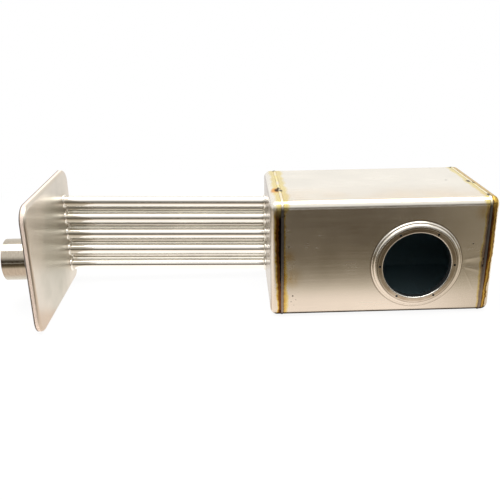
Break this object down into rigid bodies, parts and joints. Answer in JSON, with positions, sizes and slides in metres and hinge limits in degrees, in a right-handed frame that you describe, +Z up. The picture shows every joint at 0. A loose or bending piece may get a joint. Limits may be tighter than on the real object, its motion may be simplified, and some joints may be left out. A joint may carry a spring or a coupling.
{
  "type": "furnace heat exchanger",
  "caption": "Tubular furnace heat exchanger: a steel firebox with a round burner port, straight flue tubes behind it, and a tall flat collector with a round flue stub.",
  "frame": {"origin": "centre of the burner port, in the plane of its flat screw ring", "axes": "+X along the tubes towards the firebox's closed end, +Y from the burner side to the back, +Z up"},
  "size_m": [1.0107, 0.3259, 0.2626],
  "materials": {
    "firebox_sheet": "satin stainless sheet, heat tinted beside the welds",
    "pan_sheet": "satin stainless sheet, heat tinted beside the welds",
    "collector_sheet": "satin stainless sheet",
    "tube": "bright drawn stainless tube",
    "stub_tube": "bright drawn stainless tube",
    "seam_weld": "oxidised weld bead",
    "tube_weld": "bright fused weld"
  },
  "bodies": {
    "root": {"firebox_wrapper": "firebox_sheet", "firebox_tube_pan": "pan_sheet", "firebox_end_pan": "pan_sheet", "collector_tube_sheet": "collector_sheet", "collector_cover": "collector_sheet", "flue_stub": "stub_tube", "tube_pan_seam_weld": "seam_weld", "end_pan_seam_weld": "seam_weld", "wrapper_back_seam_weld": "seam_weld", "collector_edge_weld": "seam_weld", "flue_stub_weld": "seam_weld", "firebox_tube_welds": "tube_weld", "collector_tube_welds": "tube_weld", "front_tube_1": "tube", "front_tube_2": "tube", "front_tube_3": "tube", "front_tube_4": "tube", "front_tube_5": "tube", "rear_tube_1": "tube", "rear_tube_2": "tube", "rear_tube_3": "tube", "rear_tube_4": "tube"}
  },
  "joints": []
}
